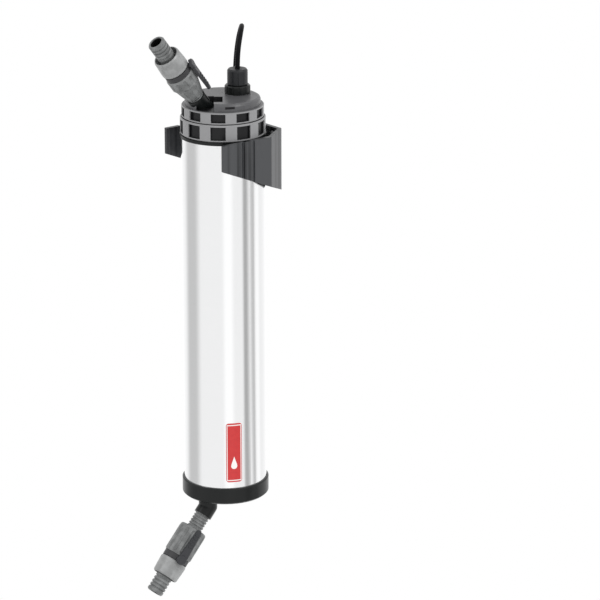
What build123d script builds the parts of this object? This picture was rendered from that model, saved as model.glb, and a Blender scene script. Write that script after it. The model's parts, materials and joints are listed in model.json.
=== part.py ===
from build123d import *
from math import atan2, cos, degrees, pi, radians, sin, tan
import os

# Ultraviolet clarifier: an upright metal-sleeved tube that hangs in a wall bracket.
#
# Millimetres, +Z up. The wall is the plane Y = 0, the origin is on the bracket's back face, midway
# between its screw holes, and the tube stands in front of the wall, along Y = TUBE_Y. A hose
# connector with a shut-off valve leans forward from the head, another leaves the swivelling elbow
# under the tube, and the mains lead arches over from the head to a tied hank behind the tube.

# ---- driving dimensions -------------------------------------------------------------------------
TUBE_Y = -50.0            # tube axis, in front of the wall
TUBE_R = 40.0             # metal sleeve, outside
TUBE_WALL = 1.2
TUBE_TOP = 20.0
TUBE_BOTTOM = -321.5
LINER_R_OUT = 38.5
LINER_R_IN = 34.5
GAP = 0.3                 # between pieces that move past each other

NECK_TOP = 34.0           # ring that carries the head
NECK_R = 36.2
LUG_S = 6.0               # lugs sit this far in front of the tube axis
LUG_WIDE = 5.0
LUG_X_OUT = 43.8
LUG_BOTTOM = 6.0

CAP_R = 42.0
CAP_BOTTOM = -337.5
PORT_Y = -72.0            # the outlet's stem and swivel axis
STEM_R = 8.2

COLLAR_R = 40.4
COLLAR_FLOOR_R = 37.9     # bottom of the pockets between its ribs
COLLAR_LOW = NECK_TOP - 10.7
COLLAR_TOP = 39.5
HEAD_R = 38.9
HEAD_FLOOR_R = 36.1
HEAD_LOW = 39.8
HEAD_TIER_TOP = 50.0
HEAD_TOP = 58.5
DOME_R = 35.8
RIBS = 10
RIB_WIDE = 10.5
RIB_TURN = 9.4            # degrees from +X to the first rib
MARK_TURN = -27.0         # degrees from +X to the slot in the dome
POCKET_TURN = -38.0       # degrees from +X to the way the pocket opens
NECK_POCKET_FLOOR = 51.6
NECK_SLOT_FLOOR = 54.0

LAMP_Y = -44.0            # lamp and quartz sleeve stand behind the tube axis, clear of the inlet duct
SLEEVE_R_OUT = 17.0
SLEEVE_R_IN = 15.5
SLEEVE_BOTTOM = -250.0
DUCT_Y = -72.0
DUCT_TOP = 37.0
BORE_R = 5.5              # waterway

SCREW_PLACES = [(-13.5, -24.0), (13.5, -24.0), (-13.5, 24.0), (13.5, 24.0)]   # from the tube axis

GLAND_Y = -32.1
GLAND_R = 12.2
GLAND_NUT_R = 9.7
GLAND_NUT_TOP = 82.0

INLET_LEAN = 38.0         # degrees from upright, towards the front
INLET_Y = -82.7           # where the inlet's neck ends
INLET_Z = 63.7
INLET_NUT_START = 15.0    # where the union nut's full width ends
INLET_SKIRT = 14.0        # its tapered end, over the spigot
INLET_ROLL = 40.0         # the lever's turn about the connector, towards +X
INLET_SPIGOT = -9.0
NECK_TUBE_R = 9.0         # inlet neck and outlet elbow, outside
OUTLET_LEAN = 42.5
OUTLET_BEND_Z = -349.8
OUTLET_REACH = 26.3       # from the elbow's bend to the outlet's union nut
OUTLET_ROLL = 110.0
OUTLET_MOUTH = -16.0      # where the elbow stops, along the connector
OUTLET_SPIGOT = -21.0
OUTLET_NUT_START = 0.0

UNION_R = 14.0
UNION_END = 30.5
SPIGOT_R = 7.7
BODY_R = 13.0
BAND_END = 36.0
CLAMP_R = 13.5
CLAMP_END = 54.0
TAIL_R = 8.25
TAIL_END = 72.5
TAIL_SEAT = 42.0          # where the tail's flange meets the valve
HOSE_R_OUT = 11.0         # a 16/22 mm hose
LANDS = 5
LAND_START = 54.6
LAND_WIDE = 2.0
LAND_GAP = 1.6
VALVE_AT = 33.4
BALL_R = 7.5
SEAT_R = 8.9
LEVER_LOW = 14.6
LEVER_THICK = 3.2
LEVER_LONG = 33.5         # from the hub's centre to the free end
LEVER_WIDE = 10.0
LEVER_TIP_WIDE = 5.0
LEVER_STEM_R = 1.5

ARM_IN = 41.6
ARM_OUT = 44.4
ARM_PAD = 45.6            # raised pads and ribs on the arms
ARM_TIP_Y = TUBE_Y - 35.0
ARM_BEND_Y = TUBE_Y + 22.0
PLATE_THICK = 4.0
PLATE_HALF = 26.0
PLATE_TOP = 24.0
PLATE_LOW = -36.5
ARM_TIP_LOW = -1.0
BOLT_X = 16.0
BOLT_Z = 18.0
BOLT_R = 2.25

CORD_R = 2.3
CORD_START = 74.5
CORD_ROUTE = [
    (0.0, -32.1, CORD_START),
    (0.0, -32.1, 86.0),
    (1.0, -31.8, 101.0),
    (-4.5, -24.5, 113.6),
    (-14.9, -14.4, 118.4),
    (-27.0, -5.9, 113.8),
    (-35.7, -2.4, 101.4),
    (-37.5, -3.8, 85.5),
    (-38.6, -4.4, 66.0),
    (-39.8, -5.2, 42.0),
    (-42.0, -7.8, 17.0),
    (-47.4, -14.0, -7.0),
    (-52.8, -20.8, -22.0),
    (-55.0, -24.5, -34.0),
    (-55.0, -24.5, -44.4),
]
HANK_X = -55.0
HANK_Y = -24.5
HANK_THICK = 14.6
HANK_END_R = 21.0         # round ends
HANK_WAIST = 15.0         # half width at the tie
HANK_RUN = 72.0
HANK_MID_Z = -101.0
HANK_FLAT = 0.4           # cut off each round end, where the cord meets it
TIE_TALL = 12.0
TIE_WALL = 1.6
TAIL_ROUTE_DROP = 42.0
PLUG_LONG = 36.0

BADGE_TURN = -26.0        # degrees from +X
BADGE_WIDE = 15.5
BADGE_TALL = 60.0
BADGE_LOW = TUBE_BOTTOM + 6.5

AXIS = Pos(0, TUBE_Y, 0)
LAMP = Pos(0, LAMP_Y, 0)
GLAND = Pos(0, GLAND_Y, 0)


# ---- helpers ------------------------------------------------------------------------------------
def turned(points):
    """Solid of revolution about Z from (radius, height) corners."""
    outline = Polyline(*[(r, 0, z) for r, z in points], close=True)
    return revolve(make_face(outline), Axis.Z)


def rod(r, low, high, x=0.0, y=0.0):
    """Upright cylinder from one height to another."""
    return Pos(x, y, (low + high) / 2) * Cylinder(r, high - low)


def tube(r_in, r_out, low, high):
    """Upright ring."""
    return turned([(r_in, low), (r_out, low), (r_out, high), (r_in, high)])


def block(x, y, z):
    """Box from three (low, high) pairs."""
    size = [b - a for a, b in (x, y, z)]
    middle = [(a + b) / 2 for a, b in (x, y, z)]
    return Pos(*middle) * Box(*size)


def round_about(count, first=0.0):
    """Turns about Z, evenly spaced."""
    return [Rot(0, 0, first + 360 / count * i) for i in range(count)]


def pockets(r_floor, low, high):
    """What is cut from a round skirt to leave its ribs standing."""
    reach = COLLAR_R + 4
    sector = 360 / RIBS - 2 * (RIB_WIDE / 2 / HEAD_R) * 180 / pi
    half = radians(sector / 2)
    wedge = make_face(Polyline((0, 0), (reach * 1.2, -reach * 1.2 * tan(half)),
                               (reach * 1.2, reach * 1.2 * tan(half)), close=True))
    slice_ = Pos(0, 0, low) * extrude(wedge, high - low)
    slice_ -= rod(r_floor, low - 1, high + 1)
    return [turn * slice_ for turn in round_about(RIBS, RIB_TURN + 180 / RIBS)]


def leaning(lean, up):
    """Unit vectors of a connector: along it, and square to it on the side nearer the wall."""
    along = Vector(0, -sin(radians(lean)), up * cos(radians(lean)))
    upper = Vector(0, cos(radians(lean)), up * sin(radians(lean)))
    return along, upper


def connector_place(origin, lean, up, roll):
    """Local Z runs along the connector, local Y points at its lever."""
    along, upper = leaning(lean, up)
    lever = upper * cos(radians(roll)) + Vector(1, 0, 0) * sin(radians(roll))
    return Plane(origin=origin, x_dir=lever.cross(along), z_dir=along).location


def pipe(r, points):
    """Straight round runs from point to point, with a ball at each corner."""
    shape = None
    for a, b in zip(points, points[1:]):
        run = Vector(*b) - Vector(*a)
        piece = Plane(origin=a, z_dir=run).location * Pos(0, 0, run.length / 2) * Cylinder(r, run.length)
        shape = piece if shape is None else shape + piece
    for corner in points[1:-1]:
        shape += Pos(*corner) * Sphere(r)
    return shape


def write(name, shape):
    export_step(shape, f"parts/{name}.step")


# ---- wall bracket -------------------------------------------------------------------------------
def arm_profile():
    """Side view of the bracket, drawn in Y and Z."""
    corners = [(ARM_TIP_Y, PLATE_TOP), (0, PLATE_TOP), (0, PLATE_LOW), (ARM_TIP_Y, ARM_TIP_LOW)]
    return make_face(Polyline(*[(0, y, z) for y, z in corners], close=True))


def arm_plan(outer):
    """Plan of one arm and half the wall plate."""
    slope = (outer - PLATE_HALF) / -ARM_BEND_Y
    front = -PLATE_THICK
    wall = ARM_OUT - ARM_IN
    inner_front = PLATE_HALF - slope * front - wall * 1.25
    return make_face(Polyline((0, 0), (PLATE_HALF, 0), (outer, ARM_BEND_Y), (outer, ARM_TIP_Y),
                              (ARM_IN, ARM_TIP_Y), (ARM_IN, ARM_BEND_Y), (inner_front, front),
                              (0, front), close=True))


def wall_bracket():
    height = (PLATE_LOW, PLATE_TOP)
    side = extrude(arm_profile(), 60, both=True)
    half = Pos(0, 0, PLATE_LOW) * extrude(arm_plan(ARM_OUT), PLATE_TOP - PLATE_LOW)
    thick = Pos(0, 0, PLATE_LOW) * extrude(arm_plan(ARM_PAD), PLATE_TOP - PLATE_LOW)
    front_pad = block((30, 60), (ARM_TIP_Y - 1, TUBE_Y - 19), height)
    lug_rib = block((30, 60), (TUBE_Y - LUG_S - 3.8, TUBE_Y - LUG_S + 3.8), height)
    rear_pad = block((20, 60), (TUBE_Y + 2, -9), height)
    channel = block((ARM_OUT - 0.9, 60), (TUBE_Y - 18.4, TUBE_Y - 11), height)
    half = (half - channel) + (thick & front_pad) + (thick & lug_rib) + (thick & rear_pad)
    groove = block((0, LUG_X_OUT + GAP),
                   (TUBE_Y - LUG_S - LUG_WIDE / 2 - GAP, TUBE_Y - LUG_S + LUG_WIDE / 2 + GAP),
                   (LUG_BOTTOM, PLATE_TOP + 1))
    half = (half & side) - groove
    tips = half.edges().filter_by(Axis.Z).group_by(Axis.Y)[0]
    half = fillet(tips, 1.0)
    both = half + mirror(half, Plane.YZ)
    for x in (-BOLT_X, BOLT_X):
        for z in (-BOLT_Z, BOLT_Z):
            hole = Pos(x, -PLATE_THICK / 2, z) * Rot(90, 0, 0) * Cylinder(BOLT_R, PLATE_THICK + 2)
            sink = Pos(x, -PLATE_THICK, z) * Rot(90, 0, 0) * Cylinder(4.4, 1.6)
            both -= hole + sink
    return both


def bracket_pads():
    """Soft pads that keep the tube from rattling: one on each arm."""
    pad = block((ARM_IN - 1.1, ARM_IN), (TUBE_Y, TUBE_Y + 8), (-12, 12))
    return pad + mirror(pad, Plane.YZ)


def bracket_buffers():
    """Soft studs on the wall plate, behind the tube."""
    stud = Pos(10, -PLATE_THICK - 3.2, 0) * Rot(90, 0, 0) * Cylinder(4, 6.4)
    return stud + mirror(stud, Plane.YZ)


# ---- housing ------------------------------------------------------------------------------------
def hanger_ring():
    """Ring on the tube's top: a neck for the head, and a lug each side that hooks in the bracket."""
    ring = turned([(LINER_R_IN, TUBE_TOP), (40.8, TUBE_TOP), (40.8, TUBE_TOP + 3), (NECK_R, TUBE_TOP + 3),
                   (NECK_R, NECK_TOP), (LINER_R_IN, NECK_TOP)])
    lug = block((TUBE_R + 0.2, LUG_X_OUT), (-LUG_S - LUG_WIDE / 2, -LUG_S + LUG_WIDE / 2),
                (LUG_BOTTOM, TUBE_TOP + 3))
    bridge = block((TUBE_R - 1.5, LUG_X_OUT), (-LUG_S - LUG_WIDE / 2, -LUG_S + LUG_WIDE / 2),
                   (TUBE_TOP, TUBE_TOP + 3))
    hook = lug + bridge
    return AXIS * (ring + hook + mirror(hook, Plane.YZ))


def bottom_cap():
    """Skirted ring under the metal sleeve, plugged into the liner, with the outlet's off-centre port."""
    plug_r = LINER_R_IN - 0.2
    base = TUBE_BOTTOM
    body = turned([
        (0, CAP_BOTTOM), (CAP_R - 1.5, CAP_BOTTOM), (CAP_R, CAP_BOTTOM + 1.5),
        (CAP_R, base - 1), (CAP_R - 1, base), (plug_r, base), (plug_r, base + 6),
        (plug_r - 2.6, base + 6), (plug_r - 2.6, base + 9), (plug_r, base + 9), (plug_r, base + 17),
        (plug_r - 4.5, base + 17), (plug_r - 4.5, base + 2), (0, base + 2)])
    body -= rod(CAP_R - 5, CAP_BOTTOM - 1, CAP_BOTTOM + 12)
    cap = AXIS * body
    boss = rod(STEM_R + 4, CAP_BOTTOM, base + 10, 0, PORT_Y)
    cap += boss & (AXIS * rod(plug_r, CAP_BOTTOM, base + 10))
    cap -= AXIS * tube(plug_r - 2.6, plug_r + 0.2, base + 6, base + 9)
    cap -= rod(STEM_R + 2.1, base + 10, base + 20, 0, PORT_Y)
    cap -= rod(STEM_R + 0.15, CAP_BOTTOM - 1, base + 20, 0, PORT_Y)
    return cap


def badge():
    """Plain curved plate on the metal sleeve."""
    turn = BADGE_WIDE / TUBE_R * 180 / pi
    plate = tube(TUBE_R, TUBE_R + 0.45, BADGE_LOW, BADGE_LOW + BADGE_TALL)
    window = Pos(TUBE_R, 0, BADGE_LOW + BADGE_TALL / 2) * Rot(0, 90, 0) * extrude(
        RectangleRounded(BADGE_TALL, 2 * TUBE_R * sin(radians(turn / 2)), 2.5), 20, both=True)
    return AXIS * Rot(0, 0, BADGE_TURN) * (plate & window)


def flow_guide():
    """Ring with arms that holds the quartz sleeve's lower end in the middle of its path."""
    offset = LAMP_Y - TUBE_Y
    rim = tube(LINER_R_IN - 2.2, LINER_R_IN - 0.1, -238, -230)
    eye = Pos(0, offset, 0) * tube(SLEEVE_R_OUT + GAP, SLEEVE_R_OUT + 2.2, -238, -230)
    arms = [turn * block((10, LINER_R_IN - 1), (-1, 1), (-236, -232)) for turn in round_about(6, 30)]
    clear = Pos(0, offset, 0) * rod(SLEEVE_R_OUT + 1.2, -240, -228)
    guide = rim + eye
    for arm in arms:
        guide += arm - clear
    return AXIS * guide


def housing_nodes():
    seal_r = LINER_R_IN - 0.05
    return {
        "housing_tube": AXIS * tube(TUBE_R - TUBE_WALL, TUBE_R, TUBE_BOTTOM, TUBE_TOP),
        "inner_liner": AXIS * tube(LINER_R_IN, LINER_R_OUT, TUBE_BOTTOM, TUBE_TOP),
        "hanger_ring": hanger_ring(),
        "bottom_cap": bottom_cap(),
        "bottom_seal": AXIS * tube(seal_r - 2.7, seal_r, TUBE_BOTTOM + 6.3, TUBE_BOTTOM + 8.7),
        "flow_guide": flow_guide(),
        "badge": badge(),
    }


# ---- head ---------------------------------------------------------------------------------------
def inlet_place():
    return connector_place((0, INLET_Y, INLET_Z), INLET_LEAN, 1, INLET_ROLL)


def neck_route():
    """Centre line of the inlet's neck: up from the duct, then along the leaning connector."""
    along, _ = leaning(INLET_LEAN, 1)
    back = (INLET_Y - DUCT_Y) / along.Y
    corner = (0, DUCT_Y, INLET_Z - back * along.Z)
    mouth = (0, INLET_Y - 1.5 * along.Y, INLET_Z - 1.5 * along.Z)
    return [(0, DUCT_Y, DUCT_TOP), corner, mouth]


def locking_collar():
    """Ribbed ring that clamps the head down on the neck."""
    ring = turned([(NECK_R + GAP, COLLAR_LOW), (COLLAR_R - 0.8, COLLAR_LOW), (COLLAR_R, COLLAR_LOW + 0.8),
                   (COLLAR_R, COLLAR_TOP - 0.8), (COLLAR_R - 0.8, COLLAR_TOP), (34.0, COLLAR_TOP),
                   (34.0, 36.3), (NECK_R + GAP, 36.3)])
    for pocket in pockets(COLLAR_FLOOR_R, COLLAR_LOW + 1.6, COLLAR_TOP - 1.8):
        ring -= pocket
    return AXIS * ring


def head_base():
    """Cup that plugs into the liner and carries the lamp, the sleeve and the inlet's duct."""
    plug_r = LINER_R_IN - 0.2
    cup = turned([(0, 8), (plug_r, 8), (plug_r, 14), (plug_r - 2.6, 14), (plug_r - 2.6, 17), (plug_r, 17),
                  (plug_r, NECK_TOP), (NECK_R - 0.2, NECK_TOP), (NECK_R - 0.2, 36), (29.5, 36),
                  (29.5, 12), (0, 12)])
    cup = AXIS * cup
    cup += LAMP * rod(21.5, -6, 9)
    cup += rod(BORE_R + 2, 8, DUCT_TOP, 0, DUCT_Y)
    for x in (-19, 19):
        for y in (LAMP_Y + 12, LAMP_Y - 14):
            cup += rod(2.2, 11, 36.5, x, y)
    cup -= LAMP * rod(SLEEVE_R_OUT + 0.2, -10, 13)
    cup -= LAMP * rod(19.9, -10, 4)
    cup -= rod(BORE_R, 0, 50, 0, DUCT_Y)
    for x, y in SCREW_PLACES:
        cup += AXIS * rod(3.8, 11, 34, x, y)
        cup -= AXIS * (rod(1.9, 0, 40, x, y) + rod(3.4, 0, 10, x, y))
    return cup


def head_screws():
    screws = [AXIS * (rod(1.5, 10, 44, x, y) + rod(3.1, 8, 10, x, y)) for x, y in SCREW_PLACES]
    return Compound(children=screws)


def inlet_neck():
    """Neck between the duct in the head and the inlet's union nut."""
    neck = pipe(NECK_TUBE_R, neck_route())
    neck -= inlet_place() * rod(SPIGOT_R, INLET_SPIGOT, 0)
    neck -= pipe(BORE_R, neck_route())
    return neck


def neck_pocket(grow):
    """Open pocket beside the neck, with a slot off it, drawn larger to make its walls."""
    low = NECK_POCKET_FLOOR - grow
    high = HEAD_TOP + 12
    pocket = block((2 - grow, 40), (-24.5 - grow, -8.2 + grow), (low, high))
    pocket += block((4 - grow, 25 + grow), (-10, grow), (NECK_SLOT_FLOOR - grow, high))
    return AXIS * Rot(0, 0, POCKET_TURN) * pocket


def head_shell():
    """Ribbed cover with its dome, and the pocket that the inlet's neck stands in."""
    low = 36.0
    outer = AXIS * turned([
        (0, low), (33.6, low), (33.6, HEAD_LOW), (HEAD_R - 0.6, HEAD_LOW), (HEAD_R, HEAD_LOW + 0.6),
        (HEAD_R, HEAD_TIER_TOP + 0.4), (HEAD_R - 0.7, HEAD_TIER_TOP + 1.1), (DOME_R, HEAD_TIER_TOP + 1.6),
        (DOME_R, HEAD_TOP - 2.6), (DOME_R - 0.8, HEAD_TOP - 0.9), (DOME_R - 2.6, HEAD_TOP),
        (0, HEAD_TOP)])
    for pocket in pockets(HEAD_FLOOR_R, HEAD_LOW + 1.5, HEAD_TIER_TOP - 0.3):
        outer -= AXIS * pocket
    inner = turned([(0, low - 1), (31.2, low - 1), (31.2, HEAD_LOW + 1), (33.2, HEAD_LOW + 3),
                    (33.2, HEAD_TIER_TOP + 4), (31.5, HEAD_TOP - 2.4), (0, HEAD_TOP - 2.4)])
    shell = outer - AXIS * inner
    shell += outer & neck_pocket(1.8)
    for x, y in SCREW_PLACES:
        shell += AXIS * rod(3.6, low, HEAD_TOP - 1, x, y)
    shell -= neck_pocket(0)
    shell -= pipe(NECK_TUBE_R, neck_route())
    shell -= inlet_place() * rod(UNION_R + 0.9, 12, 40)
    shell -= AXIS * Rot(0, 0, MARK_TURN) * Pos(DOME_R, 0, HEAD_TIER_TOP + 5) * Box(2.4, 9, 2.2)
    for x, y in SCREW_PLACES:
        shell -= AXIS * rod(1.52, 30, 44.2, x, y)
    shell -= GLAND * rod(7.9, 40, 70)
    return shell


def lamp_base():
    body = rod(14, -22, 2) & block((-14, 14), (-10.5, 10.5), (-22, 2))
    return LAMP * body


def uv_lamp():
    """Two glass tubes side by side, joined at the lower end."""
    legs = [rod(6.5, -210, -22, x) for x in (-7.4, 7.4)]
    bridge = Pos(0, 0, -203) * Rot(0, 90, 0) * Cylinder(3, 8)
    tips = [Pos(x, 0, -210) * Sphere(6.5) for x in (-7.4, 7.4)]
    glass = legs[0] + legs[1] + bridge + tips[0] + tips[1]
    return LAMP * glass


def quartz_sleeve():
    round_end = SLEEVE_BOTTOM + SLEEVE_R_OUT
    outer = rod(SLEEVE_R_OUT, round_end, 14) + Pos(0, 0, round_end) * Sphere(SLEEVE_R_OUT)
    inner = rod(SLEEVE_R_IN, round_end, 15) + Pos(0, 0, round_end) * Sphere(SLEEVE_R_IN)
    return LAMP * (outer - inner)


def sleeve_bumper():
    """Soft disc at the foot of the sleeve with a pocket for each glass tube."""
    disc = rod(SLEEVE_R_IN - 0.2, -226, -212)
    for x in (-7.4, 7.4):
        disc -= rod(6.8, -216.5, -205, x) + Pos(x, 0, -216.5) * Sphere(6.8)
    disc -= block((-8, 8), (-3.4, 3.4), (-214, -200))
    return LAMP * disc


def lamp_holder():
    holder = rod(18.2, 14, 18) + block((-15, 15), (-11, 11), (18, 30)) + rod(SLEEVE_R_IN - 0.3, 2, 14)
    for x in (-9, 9):
        holder -= rod(1.3, 0, 9.5, x)
    return LAMP * holder


def ballast_board():
    return block((-23, 23), (LAMP_Y - 17, LAMP_Y + 14), (36.5, 38.1))


def ballast_parts():
    """Choke, two capacitors and a terminal block on the board."""
    choke = block((-21, -3), (LAMP_Y - 15, LAMP_Y), (38.1, 49))
    can = rod(5, 38.1, 49, 8, LAMP_Y - 9)
    small = rod(3.2, 38.1, 47, 18, LAMP_Y - 8)
    block_ = block((8, 20), (LAMP_Y + 2, LAMP_Y + 10), (38.1, 46))
    return Compound(children=[choke, can, small, block_])


def gland_base():
    """Flanged base of the cord gland, with its stem in the cover and its boss in the nut."""
    rim = HEAD_TOP + 8.2
    body = turned([(5, 53), (7.8, 53), (7.8, HEAD_TOP), (GLAND_R - 0.6, HEAD_TOP), (GLAND_R, HEAD_TOP + 0.6),
                   (GLAND_R, rim - 1.2), (GLAND_R - 1, rim), (6.9, rim), (6.9, 74),
                   (5.3, 74), (5.3, 64), (5, 64)])
    for turn in round_about(12):
        body -= turn * rod(1.0, HEAD_TOP + 1.6, HEAD_TOP + 9, GLAND_R + 0.5, 0)
    return GLAND * body


def gland_nut():
    body = turned([(7.2, 67.0), (GLAND_NUT_R - 0.5, 67.0), (GLAND_NUT_R, 67.5), (GLAND_NUT_R, 80.4),
                   (GLAND_NUT_R - 1.2, GLAND_NUT_TOP), (CORD_R + 0.35, GLAND_NUT_TOP),
                   (CORD_R + 0.35, 78), (5.6, 75.6), (7.2, 75.6)])
    for turn in round_about(10):
        body -= turn * rod(0.7, 66, 79.0, GLAND_NUT_R + 0.3, 0)
    return GLAND * body


def cord_inner():
    """The lead inside the gland, and its two wires down to the board."""
    sheath = GLAND * rod(CORD_R, 56, CORD_START)
    wires = [rod(0.9, 38.1, 56, x, GLAND_Y) for x in (-1.1, 1.1)]
    return sheath + wires[0] + wires[1]


def head_nodes():
    wires = [rod(0.9, 30, 36.5, x, LAMP_Y + 6) for x in (-5, 5)]
    pins = [LAMP * rod(1.1, 2, 9, x) for x in (-9, 9)]
    plug_r = LINER_R_IN - 0.2
    return {
        "head_base": head_base(),
        "head_shell": head_shell(),
        "inlet_neck": inlet_neck(),
        "head_screws": head_screws(),
        "head_seal": AXIS * tube(plug_r - 2.55, LINER_R_IN - 0.05, 14.3, 16.7),
        "quartz_sleeve": quartz_sleeve(),
        "sleeve_seal": LAMP * tube(SLEEVE_R_OUT + 0.03, 19.85, 1.2, 3.8),
        "sleeve_nut": LAMP * turned([(SLEEVE_R_OUT + 0.3, -10), (21.5, -10), (21.5, -6.2), (19.6, -6.2),
                                     (19.6, 1), (SLEEVE_R_OUT + 0.3, 1)]),
        "sleeve_bumper": sleeve_bumper(),
        "uv_lamp": uv_lamp(),
        "lamp_base": lamp_base(),
        "lamp_pins": Compound(children=pins),
        "lamp_holder": lamp_holder(),
        "lamp_leads": Compound(children=wires),
        "ballast_board": ballast_board(),
        "ballast_parts": ballast_parts(),
        "gland_base": gland_base(),
        "gland_seal": GLAND * tube(CORD_R + 0.05, 5.2, 64.2, 74),
        "mains_cord_inner": cord_inner(),
        "locking_collar": locking_collar(),
        "gland_nut": gland_nut(),
    }


# ---- hose connector, along local Z, its lever on the local +Y side -------------------------------
def spigot(start, nut_start):
    """Ribbed pipe stub with the face that the union nut pulls against the valve."""
    flange = nut_start + 4
    r = SPIGOT_R - 0.03
    corners = [(BORE_R, start), (r, start)]
    z = start + 5.5
    while z < nut_start - 2.5:
        corners += [(r, z), (r - 0.9, z + 0.3), (r - 0.9, z + 1.2), (r, z + 1.5)]
        z += 3.0
    corners += [(r, flange), (10.4, flange), (10.4, flange + 3.6), (BORE_R, flange + 3.6)]
    return turned(corners)


def taper_groove(r_low, low, r_high, high):
    """Shallow groove up one side of a cone."""
    lean = degrees(atan2(r_high - r_low, high - low))
    middle = Pos((r_low + r_high) / 2 + 0.9, 0, (low + high) / 2)
    return middle * Rot(0, lean, 0) * Cylinder(1.4, high - low - 1)


def union_nut(start, skirt):
    """Wide nut with lengthwise grips, and a tapered end over the spigot if it has a skirt."""
    hole = SPIGOT_R + 0.4
    thread = 11.8
    low = start + 4.5
    high = UNION_END - 3.5
    nose = [(hole, start - skirt)]
    if skirt:
        nose += [(hole + 0.6, start - skirt), (hole + 1.1, start - skirt + 0.8), (UNION_R - 1.1, start + 2)]
    else:
        nose += [(UNION_R - 1.2, start), (UNION_R - 0.3, start + 1)]
    body = turned(nose + [(UNION_R, start + 4), (UNION_R, UNION_END - 1.8), (UNION_R - 0.9, UNION_END),
                          (thread, UNION_END), (thread, start + 3.6), (hole, start + 3.6)])
    for turn in round_about(12, 15):
        flute = rod(2.1, low, high, UNION_R + 1.0, 0)
        flute += Pos(UNION_R + 1.0, 0, low) * Sphere(2.1)
        flute += Pos(UNION_R + 1.0, 0, high) * Sphere(2.1)
        if skirt:
            flute += taper_groove(hole + 1.1, start - skirt + 0.8, UNION_R - 1.1, start + 2)
        body -= turn * flute
    return body


def valve_body(nut_start):
    """Housing of the ball: a threaded end in the union nut, a bare band, and an end for the clamp nut."""
    thread = 11.5
    seat = VALVE_AT - BALL_R
    start = nut_start + 8
    body = turned([(BORE_R, start), (thread, start), (thread, UNION_END + 0.4), (BODY_R, UNION_END + 0.4),
                   (BODY_R, BAND_END), (10.4, BAND_END), (10.4, TAIL_SEAT), (SEAT_R + 0.1, TAIL_SEAT),
                   (SEAT_R + 0.1, seat), (BORE_R, seat)])
    across = Pos(0, 0, VALVE_AT) * Rot(-90, 0, 0)
    boss = across * rod(2.3, 11, LEVER_LOW - 0.3)
    stem = across * rod(LEVER_STEM_R + 0.1, 5, 20)
    return body + boss - stem


def ball_seats():
    low = tube(6.0, SEAT_R, VALVE_AT - BALL_R, VALVE_AT - 5)
    high = tube(6.0, SEAT_R, VALVE_AT + 5, VALVE_AT + BALL_R - 0.1)
    return Compound(children=[low, high])


def valve_ball():
    ball = Sphere(BALL_R) - rod(BORE_R, -9, 9)
    ball -= Pos(0, 10, 0) * Box(20, 6.8, 20)
    return Pos(0, 0, VALVE_AT) * ball


def lever():
    """Strip that lies back along the union nut, with its hub and the stem down to the ball."""
    top = LEVER_LOW + LEVER_THICK
    hub_r = LEVER_WIDE / 2
    tip_r = LEVER_TIP_WIDE / 2
    tip = tip_r - LEVER_LONG
    plan = make_face(Polyline((-hub_r + 0.6, 0), (hub_r - 0.6, 0), (tip_r, tip), (-tip_r, tip), close=True))
    strip = extrude(plan + Pos(0, tip) * Circle(tip_r), LEVER_THICK - 0.6)
    lying = Plane(origin=(0, LEVER_LOW, VALVE_AT), x_dir=(-1, 0, 0), z_dir=(0, 1, 0)).location
    across = Pos(0, 0, VALVE_AT) * Rot(-90, 0, 0)
    hub = across * turned([(0, LEVER_LOW), (hub_r, LEVER_LOW), (hub_r, top - 0.8), (hub_r - 0.8, top),
                           (0, top)])
    stem = across * rod(LEVER_STEM_R, 6.6, LEVER_LOW + 1)
    body = lying * strip + hub + stem
    for i in range(5):
        body += Pos(0, top - 0.5, VALVE_AT - LEVER_LONG + 6 + 3.2 * i) * Box(LEVER_TIP_WIDE - 0.8, 0.9, 1.3)
    return body


def clamp_nut():
    """Smooth nut that slides over the hose and grips it on the tail."""
    thread = 10.7
    mouth = HOSE_R_OUT + 0.3
    return turned([(thread, BAND_END + 0.5), (CLAMP_R - 0.8, BAND_END + 0.5), (CLAMP_R, BAND_END + 1.5),
                   (CLAMP_R, BAND_END + 5), (CLAMP_R - 0.7, CLAMP_END - 1.4), (CLAMP_R - 1.5, CLAMP_END),
                   (mouth, CLAMP_END), (mouth, TAIL_SEAT + 1.4), (thread, TAIL_SEAT + 1)])


def hose_tail():
    """Tail with flat lands that the hose is pushed over."""
    start = VALVE_AT + BALL_R + 0.1
    root = TAIL_R - 0.5
    floor = TAIL_R - 0.95
    flange = 10.4
    corners = [(BORE_R, start), (SEAT_R, start), (SEAT_R, TAIL_SEAT), (flange, TAIL_SEAT),
               (flange, TAIL_SEAT + 2), (root, TAIL_SEAT + 2), (root, LAND_START - 0.4)]
    for i in range(LANDS):
        low = LAND_START + i * (LAND_WIDE + LAND_GAP)
        high = low + LAND_WIDE if i < LANDS - 1 else TAIL_END - 1.2
        corners += [(TAIL_R, low), (TAIL_R, high)]
        if i < LANDS - 1:
            corners += [(floor, high + 0.35), (floor, high + LAND_GAP - 0.35)]
    corners += [(TAIL_R - 0.9, TAIL_END), (BORE_R + 0.6, TAIL_END), (BORE_R, TAIL_END - 0.8)]
    return turned(corners)


def connector_nodes(prefix, place, spigot_start, nut_start, skirt):
    pieces = {
        "spigot": spigot(spigot_start, nut_start),
        "union_nut": union_nut(nut_start, skirt),
        "valve_body": valve_body(nut_start),
        "ball_seats": ball_seats(),
        "valve_ball": valve_ball(),
        "lever": lever(),
        "clamp_nut": clamp_nut(),
        "hose_tail": hose_tail(),
    }
    return {f"{prefix}_{name}": place * piece for name, piece in pieces.items()}


# ---- outlet elbow -------------------------------------------------------------------------------
def outlet_place():
    along, _ = leaning(OUTLET_LEAN, -1)
    start = Vector(0, PORT_Y, OUTLET_BEND_Z) + along * OUTLET_REACH
    return connector_place((start.X, start.Y, start.Z), OUTLET_LEAN, -1, OUTLET_ROLL)


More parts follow.
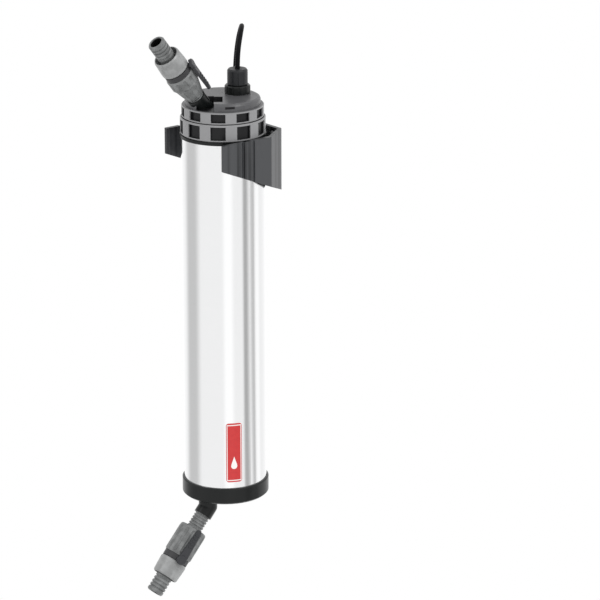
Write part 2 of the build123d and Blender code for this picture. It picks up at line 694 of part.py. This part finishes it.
def outlet_elbow():
    """Swivelling elbow: its stem turns in the bottom cap."""
    along, _ = leaning(OUTLET_LEAN, -1)
    bend = Vector(0, PORT_Y, OUTLET_BEND_Z)
    mouth = bend + along * (OUTLET_REACH + OUTLET_MOUTH)
    r = STEM_R
    seal = CAP_BOTTOM + 9
    clip = TUBE_BOTTOM + 10.4
    stem = turned([(0, CAP_BOTTOM - 1), (r, CAP_BOTTOM - 1), (r, seal), (r - 1.7, seal), (r - 1.7, seal + 3),
                   (r, seal + 3), (r, clip), (r - 1.2, clip), (r - 1.2, clip + 2), (r, clip + 2),
                   (r, clip + 3.6), (0, clip + 3.6)])
    route = [(0, PORT_Y, CAP_BOTTOM - GAP), (bend.X, bend.Y, bend.Z), (mouth.X, mouth.Y, mouth.Z)]
    body = pipe(NECK_TUBE_R, route) + Pos(0, PORT_Y, 0) * stem
    body -= outlet_place() * rod(SPIGOT_R, OUTLET_SPIGOT - 0.1, 0)
    body -= pipe(BORE_R, [(0, PORT_Y, clip + 10)] + route[1:])
    return body


def outlet_clip():
    """Split ring that keeps the elbow's stem in the cap."""
    low = TUBE_BOTTOM + 10.7
    ring = tube(STEM_R - 1.15, STEM_R + 1.8, low, low + 1.4)
    return Pos(0, PORT_Y, 0) * (ring - block((-2.5, 2.5), (-20, -3), (low - 5, low + 5)))


def outlet_nodes():
    seal = tube(STEM_R - 1.65, STEM_R + 0.1, CAP_BOTTOM + 9.3, CAP_BOTTOM + 11.7)
    nodes = {
        "outlet_elbow": outlet_elbow(),
        "outlet_clip": outlet_clip(),
        "outlet_seal": Pos(0, PORT_Y, 0) * seal,
    }
    nodes.update(connector_nodes("outlet", outlet_place(), OUTLET_SPIGOT, OUTLET_NUT_START, 0))
    return nodes


# ---- mains lead ---------------------------------------------------------------------------------
def bend_radii(route):
    """Radius at each corner: 0.45 of the shorter run, divided by the tangent of half the turn."""
    radii = []
    for a, b, c in zip(route, route[1:], route[2:]):
        first, second = Vector(*b) - Vector(*a), Vector(*c) - Vector(*b)
        turn = first.get_angle(second)
        radii.append(0.45 * min(first.length, second.length) / tan(radians(turn / 2)))
    return radii


def cord_tube(route):
    """Round tube along straight runs joined by tangent arcs."""
    radii = bend_radii(route)
    path = FilletPolyline(*route, radius=radii)
    start = Plane(origin=route[0], z_dir=Vector(*route[1]) - Vector(*route[0]))
    return sweep(start * Circle(CORD_R), path=path)


def hank_block():
    """Outer shape of the folded lead: two round ends and a waist under the tie."""
    z_end = HANK_RUN / 2
    waist = make_face(Polyline((HANK_WAIST, -TIE_TALL / 2), (HANK_END_R, -z_end), (-HANK_END_R, -z_end),
                               (-HANK_WAIST, -TIE_TALL / 2), (-HANK_WAIST, TIE_TALL / 2),
                               (-HANK_END_R, z_end), (HANK_END_R, z_end), (HANK_WAIST, TIE_TALL / 2),
                               close=True))
    outline = waist + Pos(0, z_end) * Circle(HANK_END_R) + Pos(0, -z_end) * Circle(HANK_END_R)
    solid = extrude(outline, HANK_THICK / 2, both=True)
    end = z_end + HANK_END_R - HANK_FLAT
    solid &= Box(100, 2 * end, 100)
    upright = Plane(origin=(HANK_X, HANK_Y, HANK_MID_Z), x_dir=(0, 1, 0), z_dir=(1, 0, 0))
    return upright.location * solid


def cord_tie():
    half_x, half_y = HANK_THICK / 2, HANK_WAIST
    ring = Box(2 * (half_x + TIE_WALL), 2 * (half_y + TIE_WALL), TIE_TALL - 0.4)
    ring = fillet(ring.edges().filter_by(Axis.Z), 1.2)
    ring -= Box(2 * half_x, 2 * half_y, TIE_TALL + 2)
    return Pos(HANK_X, HANK_Y, HANK_MID_Z) * ring


def tail_route():
    end = HANK_MID_Z - HANK_RUN / 2 - HANK_END_R + HANK_FLAT
    return [(HANK_X, HANK_Y, end), (HANK_X, HANK_Y, end - 13), (HANK_X + 0.5, HANK_Y - 1.5, end - 28),
            (HANK_X + 0.5, HANK_Y - 1.5, end - TAIL_ROUTE_DROP)]


def plug_body():
    """Flat two-pin plug with a tapered strain relief, pointing down."""
    x, y, top = tail_route()[-1]
    low = top - PLUG_LONG
    relief = Pos(x, y, top - 6) * Cone(4.6, 3.2, 12)
    body = Pos(x, y, (top - 10 + low) / 2) * Box(14, 26, top - 10 - low)
    body = fillet(body.edges().filter_by(Axis.Z), 4.5)
    body = fillet(body.edges().group_by(Axis.Z)[-1], 2.5)
    return body + relief


def plug_pins():
    x, y, top = tail_route()[-1]
    low = top - PLUG_LONG
    pins = []
    for side in (-9.5, 9.5):
        pins.append(rod(2.0, low - 19, low, x, y + side))
    return Compound(children=pins)


def cord_nodes():
    return {
        "mains_cord_lead": cord_tube(CORD_ROUTE),
        "mains_cord_hank": hank_block(),
        "mains_cord_tail": cord_tube(tail_route()),
        "cord_tie": cord_tie(),
        "plug_body": plug_body(),
        "plug_pins": plug_pins(),
    }


# ---- the whole clarifier ------------------------------------------------------------------------
def main():
    os.makedirs("parts", exist_ok=True)
    nodes = {
        "wall_bracket": wall_bracket(),
        "bracket_pads": bracket_pads(),
        "bracket_buffers": bracket_buffers(),
    }
    nodes.update(housing_nodes())
    nodes.update(head_nodes())
    nodes.update(connector_nodes("inlet", inlet_place(), INLET_SPIGOT, INLET_NUT_START, INLET_SKIRT))
    nodes.update(outlet_nodes())
    nodes.update(cord_nodes())
    for name, shape in nodes.items():
        write(name, shape)


main()
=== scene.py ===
import json
import math

import bpy
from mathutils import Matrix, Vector


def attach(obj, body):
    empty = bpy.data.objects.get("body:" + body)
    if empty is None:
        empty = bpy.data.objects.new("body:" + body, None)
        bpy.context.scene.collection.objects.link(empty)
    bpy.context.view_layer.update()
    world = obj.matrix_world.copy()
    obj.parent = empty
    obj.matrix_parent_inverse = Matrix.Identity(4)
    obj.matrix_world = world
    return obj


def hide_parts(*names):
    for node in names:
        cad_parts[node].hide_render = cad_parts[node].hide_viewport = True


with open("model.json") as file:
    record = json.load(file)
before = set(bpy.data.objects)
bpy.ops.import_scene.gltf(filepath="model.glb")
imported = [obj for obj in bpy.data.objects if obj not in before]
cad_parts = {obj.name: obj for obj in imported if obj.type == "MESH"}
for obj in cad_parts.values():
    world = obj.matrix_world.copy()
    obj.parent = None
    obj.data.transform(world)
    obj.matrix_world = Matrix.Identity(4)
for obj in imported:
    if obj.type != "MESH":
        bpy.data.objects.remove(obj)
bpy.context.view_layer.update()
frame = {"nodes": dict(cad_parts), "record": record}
nodes = frame["nodes"]

MM = 0.001
AXIS_Y = -0.050          # the tube's axis
POCKET_TURN = -38.0      # degrees from +X to the way the head's pocket opens
DOME_SLOT_TURN = -27.0   # degrees from +X to the small slot in the dome
BADGE_TURN = -26.0       # degrees from +X to the middle of the badge
BADGE_MIDDLE = -0.285
BADGE_LINE_IN = (0.0062, 0.0275)     # half width and half height where the pale edge line starts
BADGE_LINE_OUT = (0.0069, 0.0285)    # and where it ends
BADGE_SOFT = 0.0003                  # how far its edges blur
DROP_UP = -0.0135                    # the water drop's round part, from the badge's middle
TUBE_R = 0.040
BORE = 0.0060            # a little more than the waterway's radius
# Painted shade: the near black colour of the head's pockets and openings.
HEAD_POCKET_SHADE = (0.006, 0.006, 0.007)
# Painted highlight with a little wear: the paler colour of the head's ribs.
HEAD_RIB_SHEEN_AND_WEAR = (0.27, 0.27, 0.275)
HEAD_DOME = (0.090, 0.090, 0.094)
SHOULDER_Z = (0.0502, 0.0516)      # where the head's side gives way to its dome
# Openings in the head, painted near black as shade, each as limits along a direction from the tube's axis,
# square to it, and upwards.
POCKET = ((0.0018, 0.0400), (-0.0247, -0.0080), (0.0513, 0.0583))
POCKET_SLOT = ((0.0038, 0.0252), (-0.0100, 0.0002), (0.0538, 0.0583))
DOME_SLOT = ((0.0340, 0.0355), (-0.0046, 0.0046), (0.0537, 0.0563))
TAILS = [mount for mount in frame["record"]["mounts"] if mount["name"].endswith("hose_tail")]
SLOTS = {part["node"]: part["material_slot"] for part in frame["record"]["subparts"]}


# ---- shader helpers -----------------------------------------------------------------------------
class Graph:
    """A material's node tree with short ways to add to it."""

    def __init__(self, name):
        self.material = bpy.data.materials.new(name)
        self.material.use_nodes = True
        self.tree = self.material.node_tree
        self.shader = self.tree.nodes["Principled BSDF"]

    def add(self, kind, **settings):
        node = self.tree.nodes.new(kind)
        for key, value in settings.items():
            setattr(node, key, value)
        return node

    def link(self, source, target):
        self.tree.links.new(source, target)

    def feed(self, socket, value):
        if hasattr(value, "is_output"):
            self.link(value, socket)
        else:
            socket.default_value = value

    def math(self, operation, a, b=0.0, c=0.0):
        node = self.add("ShaderNodeMath", operation=operation)
        for socket, value in zip(node.inputs, (a, b, c)):
            self.feed(socket, value)
        return node.outputs[0]

    def ramp(self, value, low, high, start=0.0, end=1.0):
        node = self.add("ShaderNodeMapRange", interpolation_type="SMOOTHSTEP")
        for socket, given in zip(node.inputs, (value, low, high, start, end)):
            self.feed(socket, given)
        return node.outputs[0]

    def mix(self, factor, a, b):
        node = self.add("ShaderNodeMix", data_type="RGBA")
        self.feed(node.inputs[0], factor)
        for socket, value in ((node.inputs[6], a), (node.inputs[7], b)):
            self.feed(socket, value if hasattr(value, "is_output") else (*value, 1.0))
        return node.outputs[2]

    def place(self):
        """x, y and z on the piece itself, which at rest are those of the frame."""
        coordinates = self.add("ShaderNodeTexCoord")
        split = self.add("ShaderNodeSeparateXYZ")
        self.link(coordinates.outputs["Object"], split.inputs[0])
        return split.outputs

    def noise(self, scale, detail=3.0, stretch=(1.0, 1.0, 1.0)):
        coordinates = self.add("ShaderNodeTexCoord")
        mapping = self.add("ShaderNodeMapping")
        mapping.inputs["Scale"].default_value = stretch
        self.link(coordinates.outputs["Object"], mapping.inputs["Vector"])
        noise = self.add("ShaderNodeTexNoise")
        noise.inputs["Scale"].default_value = scale
        noise.inputs["Detail"].default_value = detail
        self.link(mapping.outputs[0], noise.inputs["Vector"])
        return noise.outputs["Fac"]

    def bump(self, height, strength, distance):
        node = self.add("ShaderNodeBump")
        node.inputs["Strength"].default_value = strength
        node.inputs["Distance"].default_value = distance
        self.link(height, node.inputs["Height"])
        self.link(node.outputs[0], self.shader.inputs["Normal"])

    def colour(self, value):
        socket = self.shader.inputs["Base Color"]
        if hasattr(value, "is_output"):
            self.link(value, socket)
        else:
            socket.default_value = (*value, 1.0)

    def finish(self, roughness=0.5, metallic=0.0, specular=0.5):
        self.shader.inputs["Roughness"].default_value = roughness
        self.shader.inputs["Metallic"].default_value = metallic
        self.shader.inputs["Specular IOR Level"].default_value = specular
        return self.material


def plastic(name, colour, roughness, grain=0.0, specular=0.4, vary=0.12):
    """Moulded plastic or rubber: a little uneven in colour, with a fine grain if asked."""
    graph = Graph(name)
    patch = graph.noise(60.0)
    dim = [c * (1 - vary) for c in colour]
    lit = [c * (1 + vary) for c in colour]
    graph.colour(graph.mix(patch, dim, lit))
    if grain:
        graph.bump(graph.noise(2600.0), grain, 0.0002)
    return graph.finish(roughness, 0.0, specular)


def bracket_plastic(name, dark, pale):
    """Dark moulding with upright flow marks and paler, worn places."""
    graph = Graph(name)
    streak = graph.ramp(graph.noise(120.0, 2.0, (1.0, 1.0, 0.012)), 0.40, 0.60)
    colour = graph.mix(streak, dark, pale)
    worn = graph.ramp(graph.noise(24.0, 4.0), 0.55, 0.75, 0.0, 0.35)
    graph.colour(graph.mix(worn, colour, pale))
    graph.bump(graph.noise(2400.0), 0.14, 0.0002)
    return graph.finish(0.38, 0.0, 0.5)


def bore_shade_mask(graph):
    """1 inside the waterways of the two connectors, where they are painted near black as shade."""
    coordinates = graph.add("ShaderNodeTexCoord")
    mask = None
    for tail in TAILS:
        away = graph.add("ShaderNodeVectorMath", operation="SUBTRACT")
        graph.link(coordinates.outputs["Object"], away.inputs[0])
        away.inputs[1].default_value = tail["pos_m"]
        cross = graph.add("ShaderNodeVectorMath", operation="CROSS_PRODUCT")
        graph.link(away.outputs[0], cross.inputs[0])
        cross.inputs[1].default_value = tail["axis"]
        length = graph.add("ShaderNodeVectorMath", operation="LENGTH")
        graph.link(cross.outputs[0], length.inputs[0])
        part = graph.ramp(length.outputs["Value"], BORE - 0.0003, BORE, 1.0, 0.0)
        mask = part if mask is None else graph.math("MAXIMUM", mask, part)
    return mask


def grey_plastic(name, colour, roughness, tone):
    """Grey nylon with a mottled tone, with painted shade near black inside the waterway."""
    graph = Graph(name)
    mottle = graph.ramp(graph.noise(130.0, 3.0), 0.35, 0.68)
    dim = [c * (1 - tone) for c in colour]
    lit = [c * (1 + tone) for c in colour]
    # Painted shade: the waterway's inside is painted near black.
    graph.colour(graph.mix(bore_shade_mask(graph), graph.mix(mottle, dim, lit), (0.004, 0.004, 0.004)))
    graph.bump(graph.noise(1900.0), 0.12, 0.0002)
    return graph.finish(roughness, 0.0, 0.5)


def axis_radius(graph, x, y):
    """Distance from the tube's axis."""
    beside = graph.math("SUBTRACT", y, AXIS_Y)
    squares = graph.math("ADD", graph.math("MULTIPLY", x, x), graph.math("MULTIPLY", beside, beside))
    return graph.math("SQRT", squares)


def inside(graph, value, low, high, soft=0.0003):
    """1 where the value lies between two limits, else 0."""
    return graph.math("MULTIPLY", graph.ramp(value, low - soft, low + soft),
                      graph.ramp(value, high - soft, high + soft, 1.0, 0.0))


def turned_place(graph, x, y, degrees):
    """How far a point lies from the tube's axis along a direction, and square to it."""
    turn = math.radians(degrees)
    back = graph.math("SUBTRACT", y, AXIS_Y)
    along = graph.math("ADD", graph.math("MULTIPLY", x, math.cos(turn)),
                       graph.math("MULTIPLY", back, math.sin(turn)))
    across = graph.math("SUBTRACT", graph.math("MULTIPLY", back, math.cos(turn)),
                        graph.math("MULTIPLY", x, math.sin(turn)))
    return along, across


def in_box(graph, place, limits):
    """1 where all three values lie between their own limits, else 0."""
    along, across, up = (inside(graph, value, *pair) for value, pair in zip(place, limits))
    return graph.math("MULTIPLY", graph.math("MULTIPLY", along, across), up)


def opening_shade(graph, x, y, z):
    """1 in the open pocket beside the inlet's neck, in the slot off it, and in the dome's small slot, where
    painted shade goes.
    """
    place = (*turned_place(graph, x, y, POCKET_TURN), z)
    depth = graph.math("MAXIMUM", in_box(graph, place, POCKET), in_box(graph, place, POCKET_SLOT))
    place = (*turned_place(graph, x, y, DOME_SLOT_TURN), z)
    return graph.math("MAXIMUM", depth, in_box(graph, place, DOME_SLOT))


def head_plastic(name, floor, crest):
    """Black plastic whose ribs, from the floor's radius to the crest's, are painted paler than the pockets as
    a highlight with a little wear, and whose pockets and openings are painted near black as shade.
    """
    graph = Graph(name)
    x, y, z = graph.place()
    radius = axis_radius(graph, x, y)
    out = graph.ramp(radius, floor, crest)
    side = graph.mix(out, HEAD_POCKET_SHADE, HEAD_RIB_SHEEN_AND_WEAR)
    above = graph.ramp(z, *SHOULDER_Z)
    worn = graph.mix(graph.noise(140.0), [c * 0.8 for c in HEAD_DOME], [c * 1.2 for c in HEAD_DOME])
    # Painted shade in the pockets and openings, painted highlight with a little wear on the ribs.
    graph.colour(graph.mix(opening_shade(graph, x, y, z), graph.mix(above, side, worn), HEAD_POCKET_SHADE))
    graph.bump(graph.noise(2200.0), 0.15, 0.0002)
    return graph.finish(0.34, 0.0, 0.3)


def brushed_sleeve(name):
    """Satin metal with fine marks round the tube."""
    graph = Graph(name)
    marks = graph.noise(9.0, 6.0, (3.0, 3.0, 900.0))
    graph.colour(graph.mix(marks, (0.90, 0.905, 0.91), (0.97, 0.97, 0.975)))
    graph.bump(marks, 0.04, 0.0001)
    return graph.finish(0.12, 1.0, 0.5)


def badge_paint(name):
    """Red label with a pale edge line and a plain pale water drop made of two shapes."""
    graph = Graph(name)
    x, y, z = graph.place()
    turn = graph.math("ARCTAN2", graph.math("SUBTRACT", y, AXIS_Y), x)
    across = graph.math("MULTIPLY", graph.math("SUBTRACT", turn, math.radians(BADGE_TURN)), TUBE_R)
    up = graph.math("SUBTRACT", z, BADGE_MIDDLE)
    side = graph.math("ABSOLUTE", across)
    tall = graph.math("ABSOLUTE", up)
    edge, rim = (graph.math("MAXIMUM", graph.ramp(side, wide, wide + BADGE_SOFT),
                            graph.ramp(tall, high, high + BADGE_SOFT))
                 for wide, high in (BADGE_LINE_IN, BADGE_LINE_OUT))
    line = graph.math("SUBTRACT", edge, rim)
    above = graph.math("SUBTRACT", up, DROP_UP)
    ball = graph.math("SQRT", graph.math("ADD", graph.math("MULTIPLY", across, across),
                                         graph.math("MULTIPLY", above, above)))
    round_part = graph.ramp(ball, 0.0031, 0.0031 - BADGE_SOFT)
    slope = graph.math("ADD", side, graph.math("MULTIPLY", graph.math("ADD", up, 0.0045), 0.34))
    tip = graph.math("MULTIPLY", graph.ramp(slope, 0.0004, 0.0001), graph.ramp(up, -0.0125, -0.0120))
    drop = graph.math("MAXIMUM", round_part, tip)
    red = graph.mix(graph.noise(300.0), (0.50, 0.020, 0.022), (0.62, 0.030, 0.030))
    lined = graph.mix(line, red, (0.85, 0.80, 0.78))
    graph.colour(graph.mix(drop, lined, (0.88, 0.84, 0.82)))
    return graph.finish(0.28, 0.0, 0.5)


def glass(name, tint, roughness=0.03):
    graph = Graph(name)
    graph.colour(graph.mix(graph.noise(20.0), tint, [min(1.0, c * 1.03) for c in tint]))
    graph.shader.inputs["Transmission Weight"].default_value = 1.0
    graph.shader.inputs["IOR"].default_value = 1.46
    return graph.finish(roughness)


def metal(name, colour, roughness):
    graph = Graph(name)
    scratch = graph.noise(30.0, 4.0, (1.0, 1.0, 60.0))
    graph.colour(graph.mix(scratch, [c * 0.85 for c in colour], colour))
    return graph.finish(roughness, 1.0)


materials = {
    "bracket_plastic": bracket_plastic("bracket_plastic", (0.012, 0.013, 0.015), (0.052, 0.054, 0.058)),
    "soft_rubber": plastic("soft_rubber", (0.018, 0.018, 0.019), 0.75, 0.2),
    "metal_sleeve": brushed_sleeve("metal_sleeve"),
    "liner_plastic": plastic("liner_plastic", (0.06, 0.06, 0.065), 0.5),
    # The head's and collar's pockets are painted near black as shade, and their ribs paler as a highlight
    # with a little wear.
    "black_plastic": head_plastic("black_plastic", 0.0370, 0.0385),
    "collar_plastic": head_plastic("collar_plastic", 0.0388, 0.0400),
    "cap_plastic": plastic("cap_plastic", (0.006, 0.007, 0.007), 0.28, 0.05, specular=0.28),
    # Painted shade: the valve bodies' band between the nuts is painted dark, standing for the shaded gap
    # between them.
    "valve_band_shade": plastic("valve_band_shade", (0.030, 0.030, 0.032), 0.45, 0.08),
    "gland_plastic": plastic("gland_plastic", (0.016, 0.017, 0.019), 0.38, 0.1, specular=0.3),
    "badge_red": badge_paint("badge_red"),
    "steel": metal("steel", (0.62, 0.62, 0.63), 0.3),
    "quartz": glass("quartz", (0.94, 0.96, 0.98)),
    "lamp_glass": glass("lamp_glass", (0.96, 0.97, 0.98), 0.08),
    "white_plastic": plastic("white_plastic", (0.78, 0.78, 0.76), 0.4, 0.05, vary=0.04),
    "wire": plastic("wire", (0.05, 0.12, 0.42), 0.45),
    "board": plastic("board", (0.03, 0.16, 0.07), 0.5),
    "electronics": plastic("electronics", (0.06, 0.06, 0.07), 0.45),
    "cord_black": plastic("cord_black", (0.003, 0.003, 0.004), 0.5, 0.1, specular=0.1),
    "tie_black": plastic("tie_black", (0.015, 0.015, 0.016), 0.45),
    "grey_ribbed": grey_plastic("grey_ribbed", (0.165, 0.17, 0.17), 0.40, 0.24),
    "grey_smooth": grey_plastic("grey_smooth", (0.27, 0.275, 0.275), 0.34, 0.14),
    "valve_ball": plastic("valve_ball", (0.6, 0.6, 0.6), 0.25, vary=0.04),
    "lever_dark": plastic("lever_dark", (0.028, 0.029, 0.033), 0.4, 0.1),
}
PIECE_MATERIALS = {
    "bottom_cap": "cap_plastic", "outlet_elbow": "cap_plastic", "inlet_neck": "cap_plastic",
    "gland_base": "cap_plastic", "hanger_ring": "cap_plastic", "sleeve_nut": "cap_plastic",
    "locking_collar": "collar_plastic",
    "inlet_valve_body": "valve_band_shade", "outlet_valve_body": "valve_band_shade",
}


def paint(obj, material):
    if not obj.data.materials:
        obj.data.materials.append(material)
    for i in range(len(obj.data.materials)):
        obj.data.materials[i] = material


for name, obj in nodes.items():
    paint(obj, materials[PIECE_MATERIALS.get(name, SLOTS[name])])


# ---- the mains lead -----------------------------------------------------------------------------
CORD_R = 2.3
LEAD = [(0, -32.1, 74.5), (0, -32.1, 86), (1.0, -31.8, 101), (-4.5, -24.5, 113.6), (-14.9, -14.4, 118.4),
        (-27.0, -5.9, 113.8), (-35.7, -2.4, 101.4), (-37.5, -3.8, 85.5), (-38.6, -4.4, 66),
        (-39.8, -5.2, 42), (-42.0, -7.8, 17), (-47.4, -14.0, -7), (-52.8, -20.8, -22), (-55, -24.5, -34),
        (-55, -24.5, -44.4)]
HANK = (-55.0, -24.5, -101.0)    # the folded hank's middle
HALF_RUN = 36.0           # half its straight run
OUTER = 18.7              # the radii of its end arcs
INNER = 13.8
SIDE = 4.9                # how far its two layers lie from the middle
TIE_NEAR = 10             # how far above and below the middle the tie draws it in
TIE_DRAW = 6.0            # and by how much
ARC_PULL = 0.951          # how far inside its points a curve through an end arc runs


def hank_point(x, wide, up):
    return (HANK[0] + x, HANK[1] + wide, HANK[2] + up)


def end_arc(top, side, r_from, r_to, x_from, x_to):
    """Half turn at the hank's top or bottom end, from one side to the other."""
    sign = 1 if top else -1
    points = []
    steps = 5
    for i in range(steps):
        share = (i + 0.5) / steps
        angle = math.pi * share
        r = (r_from + (r_to - r_from) * share) / ARC_PULL
        x = x_from + (x_to - x_from) * share
        points.append(hank_point(x, side * r * math.cos(angle), sign * (HALF_RUN + r * math.sin(angle))))
    return points


def strand(side, r, x, upwards):
    """Straight run of the hank, drawn in where the tie holds it."""
    sign = 1 if upwards else -1
    points = []
    for height in (-30, -TIE_NEAR, TIE_NEAR, 30):
        held = abs(height) == TIE_NEAR
        wide = r - TIE_DRAW if held else r
        points.append(hank_point(x * (0.96 if held else 1.0), side * wide, sign * height))
    return points


def hank_points():
    points = [hank_point(0, 1.5, 47), hank_point(0, 7.5, 34)]
    points += [hank_point(0.8, INNER - 3, 18), hank_point(1.2, INNER - 6, 4), hank_point(1.2, INNER - 5, -12),
               hank_point(0.5, INNER, -28)]
    points += end_arc(False, 1, INNER, INNER, 0.5, SIDE)
    points += strand(-1, INNER, SIDE, True)
    points += end_arc(True, -1, INNER, INNER, SIDE, SIDE)
    points += strand(1, INNER, SIDE, False)
    points += end_arc(False, 1, INNER, OUTER, SIDE, SIDE)
    points += strand(-1, OUTER, SIDE, True)
    points += end_arc(True, -1, OUTER, OUTER, SIDE, SIDE)
    points += strand(1, OUTER, SIDE, False)
    points += end_arc(False, 1, OUTER, OUTER, SIDE, -SIDE)
    points += strand(-1, OUTER, -SIDE, True)
    points += end_arc(True, -1, OUTER, OUTER, -SIDE, -SIDE)
    points += strand(1, OUTER, -SIDE, False)
    points += end_arc(False, 1, OUTER, INNER, -SIDE, -SIDE)
    points += strand(-1, INNER, -SIDE, True)
    points += end_arc(True, -1, INNER, INNER, -SIDE, -SIDE)
    points += strand(1, INNER, -SIDE, False)[:3]
    points += [hank_point(-3.5, 10.5, -30), hank_point(-0.8, 2.5, -46)]
    return points


TAIL = [(-55, -24.5, -157.6), (-55, -24.5, -170.6), (-54.5, -26, -185.6), (-54.5, -26, -199.6)]


def spline(name, points, radius):
    data = bpy.data.curves.new(name, "CURVE")
    data.dimensions = "3D"
    data.bevel_depth = radius * MM
    data.bevel_resolution = 5
    data.resolution_u = 10
    data.use_fill_caps = True
    line = data.splines.new("NURBS")
    line.points.add(len(points) - 1)
    for point, place in zip(line.points, points):
        point.co = (*[c * MM for c in place], 1.0)
    line.order_u = 3
    line.use_endpoint_u = True
    obj = bpy.data.objects.new(name, data)
    bpy.context.scene.collection.objects.link(obj)
    return obj


lead = spline("mains_lead", LEAD + hank_points() + TAIL, CORD_R)
paint(lead, materials["cord_black"])
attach(lead, "head")
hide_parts("mains_cord_lead", "mains_cord_hank", "mains_cord_tail")


# ---- light, floor and camera --------------------------------------------------------------------
world = bpy.data.worlds.new("studio")
bpy.context.scene.world = world
world.use_nodes = True
background = world.node_tree.nodes["Background"]
background.inputs["Color"].default_value = (1.0, 1.0, 1.0, 1.0)
background.inputs["Strength"].default_value = 0.95


def area_light(name, place, size, power, towards=(0.0, -0.05, -0.1)):
    data = bpy.data.lights.new(name, "AREA")
    data.shape = "RECTANGLE"
    data.size, data.size_y = size
    data.energy = power
    obj = bpy.data.objects.new(name, data)
    obj.location = place
    obj.rotation_mode = "QUATERNION"
    obj.rotation_quaternion = (Vector(towards) - Vector(place)).to_track_quat("-Z", "Y")
    bpy.context.scene.collection.objects.link(obj)


area_light("key", (2.2, 0.4, 1.6), (0.9, 1.4), 22.0)
area_light("fill", (-0.4, -2.4, 1.2), (0.9, 1.4), 10.0)

FLOOR_Z = -0.450
CAMERA_TURN = 52.0        # the camera's side, in degrees from -Y towards +X
# Each band's middle, in degrees round from the camera's side, its half width and its change in brightness.
FLOOR_BANDS = [(11.0, 12.0, 0.15), (-97.0, 22.0, -0.34), (60.5, 7.0, -0.50), (86.0, 5.0, -0.38),
               (103.0, 7.0, 0.12), (180.0, 40.0, 0.14)]
FLOOR_BETWEEN = -0.08     # the change in brightness between the bands
FLOOR_FAR = (3.0, 2.0)    # how far from the tube all changes have faded out, and where they start to
FLOOR_NEAR = (0.18, 0.32)  # the same close to the tube


def floor_material():
    """White floor to the camera, uneven in reflections, which the sleeve shows as upright bands."""
    graph = Graph("floor")
    x, y, _ = graph.place()
    turn = graph.math("ARCTAN2", x, graph.math("MULTIPLY", graph.math("SUBTRACT", y, AXIS_Y), -1.0))
    side = graph.math("MULTIPLY", graph.math("SUBTRACT", turn, math.radians(CAMERA_TURN)), 180 / math.pi)
    level = None
    for middle, half, change in FLOOR_BANDS:
        away = graph.math("SUBTRACT", side, middle)
        away = graph.math("ABSOLUTE", graph.math("SUBTRACT", away, graph.math(
            "MULTIPLY", graph.math("ROUND", graph.math("DIVIDE", away, 360.0)), 360.0)))
        part = graph.ramp(away, half * 0.45, half * 1.55, change, 0.0)
        level = part if level is None else graph.math("ADD", level, part)
    away = axis_radius(graph, x, y)
    level = graph.math("ADD", level, FLOOR_BETWEEN)
    level = graph.math("MULTIPLY", level, graph.ramp(away, *FLOOR_FAR))
    level = graph.math("MULTIPLY", level, graph.ramp(away, *FLOOR_NEAR))
    bright = graph.math("ADD", level, 1.0)
    direct = graph.add("ShaderNodeLightPath").outputs["Is Camera Ray"]
    seen = graph.math("ADD", graph.math("MULTIPLY", bright, graph.math("SUBTRACT", 1.0, direct)), direct)
    grey = graph.add("ShaderNodeCombineColor")
    for socket in grey.inputs:
        graph.link(seen, socket)
    glow = graph.add("ShaderNodeEmission")
    graph.link(grey.outputs[0], glow.inputs["Color"])
    glow.inputs["Strength"].default_value = 1.0
    output = graph.tree.nodes["Material Output"]
    graph.link(glow.outputs[0], output.inputs["Surface"])
    return graph.material


bpy.ops.mesh.primitive_circle_add(vertices=96, radius=6.0, fill_type="NGON", location=(0.0, 0.0, FLOOR_Z))
floor = bpy.context.active_object
floor.name = "floor"
for vertex in floor.data.vertices:      # under the tube, while its own x and y stay those of the frame
    vertex.co.y += AXIS_Y
paint(floor, floor_material())

CAMERA_AWAY = 2.8
CAMERA_HIGH = 0.7536
CAMERA_DOWN = 17.765
CAMERA_RIGHT = 1.488
LENS = 183.8
turn = math.radians(CAMERA_TURN)
heading = turn - math.radians(CAMERA_RIGHT)
camera_data = bpy.data.cameras.new("camera")
camera_data.lens = LENS
camera = bpy.data.objects.new("camera", camera_data)
camera.location = (CAMERA_AWAY * math.sin(turn), AXIS_Y - CAMERA_AWAY * math.cos(turn), CAMERA_HIGH)
aim = Vector((-math.sin(heading), math.cos(heading), -math.tan(math.radians(CAMERA_DOWN))))
camera.rotation_mode = "QUATERNION"
camera.rotation_quaternion = aim.to_track_quat("-Z", "Y")
bpy.context.scene.collection.objects.link(camera)
bpy.context.scene.camera = camera
bpy.context.scene.view_settings.view_transform = "Standard"
